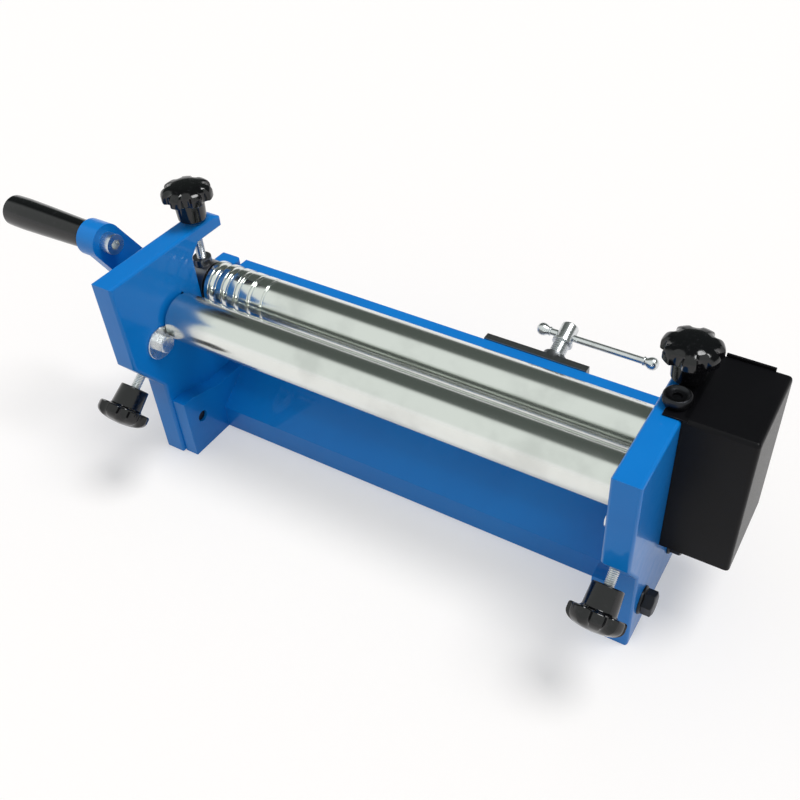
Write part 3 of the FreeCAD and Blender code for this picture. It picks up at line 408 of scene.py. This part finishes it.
def ground_roll(name, node, start, end, grooves, y, z):
    """A roll with stepped journals, chamfered shoulders and drilled centres."""
    outline = [(0, start + 3.2), (0.8, start + 2.6), (0.8, start + 1.4), (2.0, start), (JOURNAL - 0.6, start),
               (JOURNAL, start + 0.6), (JOURNAL, -HALF_ROLL), (ROLL_RADIUS - 1, -HALF_ROLL),
               (ROLL_RADIUS, 1 - HALF_ROLL)]
    for middle, width in grooves:
        outline += groove(middle, width)
    outline += [(ROLL_RADIUS, HALF_ROLL - 1), (ROLL_RADIUS - 1, HALF_ROLL), (JOURNAL, HALF_ROLL),
                (JOURNAL, end - 0.6), (JOURNAL - 0.6, end), (2.0, end), (0.8, end - 1.4), (0.8, end - 2.6),
                (0, end - 3.2)]
    shape = placed(turned(outline, 128), (0, y, z), ALONG_ROLLS)
    finished(name, shape, [node], sharp=math.radians(28))


WIRE_GROOVES = [(FIRST_GROOVE + GROOVE_PITCH * i - HALF_ROLL, GROOVE_WIDTH - GROOVE_STEP * i)
                for i in range(GROOVE_COUNT)]
ground_roll("bending_roll_ground", "bending_roll", -BEND_SHAFT_END, BEND_SHAFT_END, [], BEND_ROLL.y, BEND_ROLL.z)
ground_roll("upper_pinch_roll", "upper_roll", UPPER_SHAFT_START, SHAFT_END, WIRE_GROOVES, PINCH_Y, UPPER_Z)
ground_roll("lower_pinch_roll", "lower_roll", -CRANK_SHAFT_END, SHAFT_END, WIRE_GROOVES, PINCH_Y, LOWER_Z)


# ---------------------------------------------------------------- castings and plates

# The slide pocket's two ends up the slide and its half width, from the bending roll's axis.
POCKET_LOW, POCKET_HIGH, POCKET_HALF = -34.5, 16.3, 11.1
# The openings in its wall, each from and to up the slide, then from and to across it.
JOURNAL_SLOT = (-11.8, 13.6, -7.5, 7.5)
KEEPER_SLOT = (-28.7, -11.8, 1.8, 8.3)
WALL = 3.0
BLOCK_PLAY = 0.1


def opens(slot, point):
    """True where a point of the wall, up the slide and across it, lies in a slot."""
    return slot[0] < point.x < slot[1] and slot[2] < point.y < slot[3]


def slide_wall(sign):
    """The frame's inner wall before the sliding block, open for the roll's journal and the keeper bolt.

    It is drawn flat, with x up the slide and y across it, and then turned into the frame.
    """
    shape = bmesh.new()
    bmesh.ops.create_grid(shape, x_segments=1, y_segments=1, size=0.5)
    bmesh.ops.scale(shape, vec=(POCKET_HIGH - POCKET_LOW, 2 * POCKET_HALF, 1), verts=shape.verts)
    bmesh.ops.translate(shape, vec=((POCKET_LOW + POCKET_HIGH) / 2, 0, 0), verts=shape.verts)
    for slot in (JOURNAL_SLOT, KEEPER_SLOT):
        for normal, cuts in ((Vector((1, 0, 0)), slot[:2]), (Vector((0, 1, 0)), slot[2:])):
            for cut in cuts:
                geometry = shape.verts[:] + shape.edges[:] + shape.faces[:]
                bmesh.ops.bisect_plane(shape, geom=geometry, dist=FINE, plane_co=normal * cut, plane_no=normal)
    openings = [face for face in shape.faces
                if any(opens(slot, face.calc_center_median()) for slot in (JOURNAL_SLOT, KEEPER_SLOT))]
    bmesh.ops.delete(shape, geom=openings, context="FACES")
    made = bmesh.ops.extrude_face_region(shape, geom=shape.faces[:])
    deeper = [item for item in made["geom"] if isinstance(item, bmesh.types.BMVert)]
    bmesh.ops.translate(shape, vec=(0, 0, WALL), verts=deeper)
    turn = Matrix((UP_SLIDE, ACROSS_SLIDE, (sign, 0, 0))).transposed().to_4x4()
    place = Matrix.Translation((sign * INSIDE, BEND_ROLL.y, BEND_ROLL.z))
    bmesh.ops.transform(shape, matrix=place @ turn, verts=shape.verts)
    bmesh.ops.recalc_face_normals(shape, faces=shape.faces)
    return shape


def at_pocket_mouth(edge):
    """True for an edge of the slide pocket on the frame's inner face."""
    margin = 0.5
    for vert in edge.verts:
        away = Vector((0, vert.co.y, vert.co.z)) - BEND_ROLL
        distance, across = away.dot(UP_SLIDE), abs(away.dot(ACROSS_SLIDE))
        within = POCKET_LOW - margin < distance < POCKET_HIGH + margin and across < POCKET_HALF + margin
        if abs(abs(vert.co.x) - INSIDE) > 0.05 or not within:
            return False
    return True


for side, sign in SIDES:
    casting = copied(f"{side}_frame")
    weights = casting.edges.layers.float.new("bevel_weight_edge")
    for edge in casting.edges:
        if edge.calc_face_angle(0.0) > SHARP_EDGE and not at_pocket_mouth(edge):
            edge[weights] = 1.0
    finished(f"{side}_side_casting", joined([casting, slide_wall(sign)]), [f"{side}_frame"], rounding=0.9,
             marked_edges=True)
    slide_block = copied(f"bend_block_{side}")
    cut_flat(slide_block, (sign * (INSIDE + WALL + BLOCK_PLAY), 0, 0), (-sign, 0, 0))
    finished(f"{side}_slide_block", slide_block, [f"bend_block_{side}"], rounding=0.5)

for name, node, rounding in (
        ("base_channel_casting", "base", 1.6),
        ("rear_tie_casting", "rear_rail", 1.2),
        ("left_pinch_block", "upper_block_left", 0.5),
        ("right_pinch_block", "upper_block_right", 0.5),
        ("upper_pinch_gear", "upper_gear", 0.25),
        ("lower_pinch_gear", "lower_gear", 0.25),
        ("clamp_back_plate", "clamp_plate", 0.5)):
    finished(name, copied(node), [node], rounding=rounding)

BOSS_END = -207.0
arm = copied("crank_arm")
cut_flat(arm, (BOSS_END, 0, 0), (-1, 0, 0))
finished("forged_crank_arm", arm, ["crank_arm"], rounding=1.2)

# ---------------------------------------------------------------- gear cover

def block(low, high):
    """A plain block between two corners."""
    shape = bmesh.new()
    bmesh.ops.create_cube(shape, size=1.0)
    bmesh.ops.scale(shape, vec=Vector(high) - Vector(low), verts=shape.verts)
    bmesh.ops.translate(shape, vec=(Vector(high) + Vector(low)) / 2, verts=shape.verts)
    return shape


COVER_SHEET = 1.2
COVER_WIDTH = 39.0
COVER_FRONT = -11.0
COVER_BACK = POST_BACK + COVER_SHEET
COVER_BOTTOM = 55.0
COVER_TOP = FRAME_TOP + COVER_SHEET
COVER_FOLD = 2.4


def folded_cover():
    """Folded sheet, open towards the frame and below, with a top tab, a rear tab and a rear lip."""
    shell = block((OUTSIDE, COVER_FRONT, COVER_BOTTOM), (OUTSIDE + COVER_WIDTH, COVER_BACK, COVER_TOP))
    open_sides = [face for face in shell.faces if face.normal.x < -0.5 or face.normal.z < -0.5]
    bmesh.ops.delete(shell, geom=open_sides, context="FACES")
    folds = [edge for edge in shell.edges if not edge.is_boundary]
    bmesh.ops.bevel(shell, geom=folds, offset=COVER_FOLD, segments=4, profile=0.5, affect="EDGES", material=-1)
    bmesh.ops.recalc_face_normals(shell, faces=shell.faces)
    bmesh.ops.solidify(shell, geom=shell.faces[:], thickness=COVER_SHEET)
    bmesh.ops.recalc_face_normals(shell, faces=shell.faces)
    top_tab = block((OUTSIDE - 10, COVER_FRONT, FRAME_TOP), (OUTSIDE + 3, 32, COVER_TOP))
    rear_tab = block((OUTSIDE - 13, POST_BACK, COVER_BOTTOM), (OUTSIDE + 3, COVER_BACK, 92))
    rear_lip = block((OUTSIDE + 4, COVER_BACK - 1.4, FRAME_TOP), (OUTSIDE + 30, COVER_BACK, FRAME_TOP + 2.8))
    return joined([shell, top_tab, rear_tab, rear_lip])


finished("folded_gear_cover", folded_cover(), ["gear_cover"], rounding=0.2, segments=1)


# ---------------------------------------------------------------- star knobs and screws

KNOB_HUB = 9.0
KNOB_HUB_LENGTH = 14.0
KNOB_HEAD = 10.5
KNOB_RADIUS = 16.0
LOBES = 7
SCALLOP = 4.5


def star_knob():
    """A moulded star knob along +Z: flared hub, seven round lobes and a crowned top.

    The head is turned round, and each hollow between two lobes is then pressed in to a circle's arc.
    """
    top = KNOB_HUB_LENGTH + KNOB_HEAD
    shape = turned([(3.0, 0.4), (4.6, 0.4), (4.8, 0), (KNOB_HUB - 0.1, 0, 0.8),
                    (KNOB_HUB + 0.7, KNOB_HUB_LENGTH - 0.2, 1.2), (13.0, KNOB_HUB_LENGTH),
                    (KNOB_RADIUS, KNOB_HUB_LENGTH, 1.4), (KNOB_RADIUS, top - 4.4, 2.0), (12.4, top - 1.9, 1.4),
                    (7.0, top - 0.5, 2.0), (0, top)], LOBES * 18)
    reach = KNOB_RADIUS + SCALLOP - 2.9
    for vert in shape.verts:
        radius = math.hypot(vert.co.x, vert.co.y)
        if vert.co.z < KNOB_HUB_LENGTH - 0.6 or radius < KNOB_HUB + 1:
            continue
        turn = math.atan2(vert.co.y, vert.co.x) * LOBES / (2 * math.pi)
        offset = abs(turn - round(turn)) * 2 * math.pi / LOBES
        sideways = reach * math.sin(offset)
        if sideways < SCALLOP:
            wall = reach * math.cos(offset) - math.sqrt(SCALLOP ** 2 - sideways ** 2)
            edge = KNOB_RADIUS - wall
            shrink = max(0.0, edge) * (radius / KNOB_RADIUS) ** 3
            vert.co.xy *= (radius - shrink) / radius
    return shape


def adjusting_screw(length):
    """A captive screw along +Z: flat button, short plain neck, thread."""
    return joined([rod(4.5, 0, 2.0), rod(2.9, 1.9, 5.0), placed(thread(3.0, 1.0, 0.5, length - 4.6), (0, 0, 4.6))])


LIFT_TIP = UPPER_Z + 13.0
LIFT_GAP = 2.5
SLIDE_GAP = 9.0
SLIDE_TIP = 26.1
IN_KNOB = 7.9
for side, sign in SIDES:
    knob_seat = Vector((sign * LIFT_X, PINCH_Y, FRAME_TOP + LIFT_GAP))
    finished(f"lift_star_knob_{side}", placed(star_knob(), knob_seat), [f"lift_knob_{side}"])
    tip = Vector((sign * LIFT_X, PINCH_Y, LIFT_TIP + 0.1))
    finished(f"lift_thread_{side}", placed(adjusting_screw((knob_seat - tip).length + IN_KNOB), tip),
             [f"lift_screw_{side}"])
    axis_point = Vector((sign * BEND_X, BEND_ROLL.y, BEND_ROLL.z))
    knob_seat = axis_point - UP_SLIDE * (CHIN + SLIDE_GAP)
    finished(f"slide_star_knob_{side}", placed(star_knob(), knob_seat, -UP_SLIDE), [f"bend_knob_{side}"])
    tip = axis_point - UP_SLIDE * SLIDE_TIP
    finished(f"slide_thread_{side}", placed(adjusting_screw((knob_seat - tip).length + IN_KNOB), tip, -UP_SLIDE),
             [f"bend_screw_{side}"])


# ---------------------------------------------------------------- bolts and washers

def hex_bolt(flats, height, shank, length, flange=0.0):
    """A hexagon bolt: its head stands up from z = 0 and its shank hangs below."""
    parts = [rod(shank / 2, -length, 0.2)]
    if flange:
        parts.append(turned([(0, 0), (flange / 2, 0, 0.3), (flange / 2 - 0.2, 1.2, 0.4), (flats / 2, 2.2),
                             (0, 2.2)], 64))
        parts.append(placed(hexagon(flats, height - 1.8), (0, 0, 1.8)))
    else:
        parts.append(hexagon(flats, height))
    return joined(parts)


def bolt_set(name, node, seats, **sizes):
    """Bolts whose heads look along each seat's direction."""
    finished(name, joined([placed(hex_bolt(**sizes), origin, axis, 0.3 + 0.7 * i)
                           for i, (origin, axis) in enumerate(seats)]), [node])


WASHER = 1.5
KEEPER = BEND_ROLL - UP_SLIDE * 21.2 + ACROSS_SLIDE * 5.0
GEAR_FACE = OUTSIDE + 19

bolt_set("flange_bolts", "frame_bolts",
         [((sign * OUTSIDE, y, 26), (sign, 0, 0)) for side, sign in SIDES for y in (-28, 20)],
         flats=13, height=8, shank=8, length=24, flange=17)
bolt_set("tie_bolts", "rail_bolts",
         [((sign * OUTSIDE, 42, z), (sign, 0, 0)) for side, sign in SIDES for z in (71, 85)],
         flats=8, height=3.5, shank=5, length=25)
bolt_set("keeper_hex_bolts", "keeper_bolts",
         [((sign * (INSIDE - WASHER), KEEPER.y, KEEPER.z), (-sign, 0, 0)) for side, sign in SIDES],
         flats=10, height=5.2, shank=6, length=10.6)
bolt_set("clamp_plate_bolts", "clamp_bolts", [((x, PLATE_BACK, 85), (0, 1, 0)) for x in (39, 92)],
         flats=8, height=3.5, shank=5, length=12)
for name, z in (("upper", UPPER_Z), ("lower", LOWER_Z)):
    finished(f"{name}_shaft_washer", placed(disc(11, 2.5, WASHER), (GEAR_FACE, PINCH_Y, z), ALONG_ROLLS),
             [f"{name}_end_washer"])
    bolt_set(f"{name}_shaft_screw", f"{name}_end_screw", [((GEAR_FACE + WASHER, PINCH_Y, z), (1, 0, 0))],
             flats=8, height=3.5, shank=5, length=12)
finished("keeper_flat_washers", joined([
    placed(disc(11, 3, WASHER), (sign * INSIDE, KEEPER.y, KEEPER.z), (-sign, 0, 0)) for side, sign in SIDES]),
    ["keeper_washers"])


def pan_screw():
    """The low round screw at the cover's rear tab."""
    head = turned([(0, 0), (4.0, 0), (4.0, 0.9, 0.4), (2.6, 2.3, 0.8), (0, 2.4)], 40)
    return joined([head, rod(2.0, -8, 0.2)])


def dished_screw():
    """The large black round screw on the cover's top tab, with a dished face."""
    head = turned([(0, 0), (6.8, 0, 0.4), (7.8, 2.6, 1.2), (7.4, 5.4, 0.8), (6.2, 6.0, 0.4), (4.6, 4.6, 0.8),
                   (2.6, 4.2), (2.6, 2.6), (0, 2.6)], 64)
    return joined([head, rod(2.0, -8, 0.2)])


finished("cover_round_screws", joined([
    placed(dished_screw(), (OUTSIDE - 6.5, 0, COVER_TOP)),
    placed(pan_screw(), (OUTSIDE - 6.5, COVER_BACK, 60), (0, 1, 0))]), ["cover_screws"])


# ---------------------------------------------------------------- crank grip

CRANK_SWING = math.radians(30)
CRANK_LENGTH = 89
GRIP_Y = PINCH_Y - CRANK_LENGTH * math.sin(CRANK_SWING)
GRIP_Z = LOWER_Z + CRANK_LENGTH * math.cos(CRANK_SWING)

finished("turning_grip", placed(turned([
    (4.05, 0.2), (5.6, 0.2), (5.6, 0), (8.2, 0, 0.5), (8.8, 3.0, 1.2), (9.2, 20.0, 8.0), (10.0, 44.0, 8.0),
    (10.2, 58.0, 5.0), (9.9, 67.0, 1.2), (3.4, 67.0, 0.4), (3.2, 66.2), (0, 66.2)], 96),
    (BOSS_END - 0.3, GRIP_Y, GRIP_Z), -ALONG_ROLLS), ["crank_grip"])


# ---------------------------------------------------------------- clamp screw and cross bar

CLAMP_LEAN = math.radians(20)
CLAMP_AXIS = Vector((0, math.cos(CLAMP_LEAN), math.sin(CLAMP_LEAN)))
CLAMP_SEAT = Vector((75, PLATE_BACK, 101))
BAR_RADIUS = 2.2
BAR_LENGTH = 70.0
HEAD_DISTANCE = 14.5
finished("clamp_thread_and_head", joined([
    placed(thread(5.0, 1.5, 0.9, HEAD_DISTANCE + 8, 24), CLAMP_SEAT - CLAMP_AXIS * 8, CLAMP_AXIS),
    placed(turned([(0, 0), (6.5, 0, 0.4), (6.5, 2.0, 0.4), (5.5, 2.0), (5.5, 13.5, 1.2), (0, 13.5)], 64),
           CLAMP_SEAT + CLAMP_AXIS * HEAD_DISTANCE, CLAMP_AXIS)]), ["clamp_screw"])
finished("clamp_push_tip", placed(rod(4.5, 0, 4, 0.8), CLAMP_SEAT - CLAMP_AXIS * 12, CLAMP_AXIS), ["clamp_tip"])
bar_low = CLAMP_SEAT + CLAMP_AXIS * (HEAD_DISTANCE + 6) + Vector((20 - BAR_LENGTH / 2, 0, 0))
finished("cross_bar", placed(rod(BAR_RADIUS, 0, BAR_LENGTH), bar_low, ALONG_ROLLS), ["tommy_bar"])
BALL = [(BAR_RADIUS, -5.6), (2.9, -5.4, 0.3), (2.9, -4.5, 0.3), (2.5, -4.0), (2.9, -3.0), (3.7, -1.6), (4.0, 0),
        (3.7, 1.6), (2.9, 2.8), (1.5, 3.7), (0, 4.0)]
finished("cross_bar_balls", joined([
    placed(turned(BALL, 40), bar_low, -ALONG_ROLLS),
    placed(turned(BALL, 40), bar_low + Vector((BAR_LENGTH, 0, 0)), ALONG_ROLLS)]), ["tommy_bar_ends"],
    sharp=math.radians(50))

# ---------------------------------------------------------------- CAD nodes that keep their own shape

SHOWN = {node for node in NODES if not NODES[node].hide_render}
for node in SHOWN:
    for slot in NODES[node].material_slots:
        slot.material = FINISHES[SLOTS[node]]


# ---------------------------------------------------------------- floor, light and camera

def floor():
    """A pale floor that keeps the shadow and shows white to the camera, metal and glass."""
    shape = bmesh.new()
    bmesh.ops.create_grid(shape, x_segments=1, y_segments=1, size=6.0)
    mesh = bpy.data.meshes.new("floor")
    shape.to_mesh(mesh)
    shape.free()
    ground = bpy.data.objects.new("floor", mesh)
    bpy.context.scene.collection.objects.link(ground)
    pale = Finish("pale floor")
    shown = pale.node("ShaderNodeLightPath", output="Is Camera Ray")
    for ray in ("Is Glossy Ray", "Is Transmission Ray"):
        shown = shown + pale.node("ShaderNodeLightPath", output=ray)
    pale.surface(Base_Color=(0.62, 0.60, 0.58, 1), Roughness=0.9, Emission_Color=(0.97, 0.98, 1.0, 1))
    glow = 0.40
    pale.feed(pale.shader.inputs["Emission Strength"], shown * glow)
    mesh.materials.append(pale.material)


def studio_world():
    """A room that is white low down; higher up it has a bright window side and a dim side."""
    world = bpy.data.worlds.new("studio")
    bpy.context.scene.world = world
    world.use_nodes = True
    tree = world.node_tree

    def made(kind, **settings):
        node = tree.nodes.new(kind)
        for name, value in settings.items():
            setattr(node, name, value)
        return node

    def ramp(source, stops):
        node = made("ShaderNodeMapRange", interpolation_type="SMOOTHSTEP")
        tree.links.new(source, node.inputs["Value"])
        node.inputs["From Min"].default_value = stops[0]
        node.inputs["From Max"].default_value = stops[1]
        return node.outputs[0]

    def mix(factor, first, second):
        node = made("ShaderNodeMix", data_type="RGBA")
        tree.links.new(factor, node.inputs[0])
        for socket, value in ((node.inputs[6], first), (node.inputs[7], second)):
            if isinstance(value, tuple):
                socket.default_value = value
            else:
                tree.links.new(value, socket)
        return node.outputs[2]

    path = made("ShaderNodeLightPath")
    split = made("ShaderNodeSeparateXYZ")
    tree.links.new(made("ShaderNodeTexCoord").outputs["Generated"], split.inputs[0])
    window = ramp(split.outputs["Y"], (0.16, -0.10))
    high = ramp(split.outputs["Z"], (0.12, 0.28))
    walls = mix(window, (0.085, 0.100, 0.090, 1), (0.84, 0.88, 0.85, 1))
    background = mix(high, (1, 1, 1, 1), walls)
    light = mix(window, (0.36, 0.36, 0.37, 1), (0.60, 0.60, 0.59, 1))
    for ray in ("Is Camera Ray", "Is Glossy Ray", "Is Transmission Ray"):
        light = mix(path.outputs[ray], light, background)
    tree.links.new(light, tree.nodes["Background"].inputs["Color"])


def soft_sun(name, towards, watts, spread):
    """Light from a direction, as soft as its spread in degrees."""
    data = bpy.data.lights.new(name, "SUN")
    data.energy = watts
    data.angle = math.radians(spread)
    lamp = bpy.data.objects.new(name, data)
    lamp.rotation_mode = "QUATERNION"
    lamp.rotation_quaternion = Vector(towards).to_track_quat("Z", "Y")
    bpy.context.scene.collection.objects.link(lamp)


FOCAL_PIXELS = 964.2
PICTURE_WIDTH = 800


def photo_camera():
    """The photograph's view, fitted to the machine's edges."""
    azimuth, elevation, roll = (math.radians(angle) for angle in (30.16, 41.82, 1.39))
    back = Vector((math.sin(azimuth) * math.cos(elevation), -math.cos(azimuth) * math.cos(elevation),
                   math.sin(elevation)))
    right = Vector((math.cos(azimuth), math.sin(azimuth), 0))
    down = right.cross(back)
    right, down = (right * math.cos(roll) + down * math.sin(roll), down * math.cos(roll) - right * math.sin(roll))
    data = bpy.data.cameras.new("photo camera")
    data.sensor_width = 36.0
    data.lens = data.sensor_width * FOCAL_PIXELS / PICTURE_WIDTH
    data.shift_x = -0.0768
    data.shift_y = -0.0096
    camera = bpy.data.objects.new("photo camera", data)
    camera.matrix_world = Matrix.Translation((0.2483, -0.3549, 0.4714)) @ Matrix(
        (right, -down, back)).transposed().to_4x4()
    bpy.context.scene.collection.objects.link(camera)
    bpy.context.scene.camera = camera


floor()
studio_world()
soft_sun("high lamp", (0.30, 0.16, 0.94), 1.7, 25)
photo_camera()
bpy.context.scene.view_settings.view_transform = "Standard"
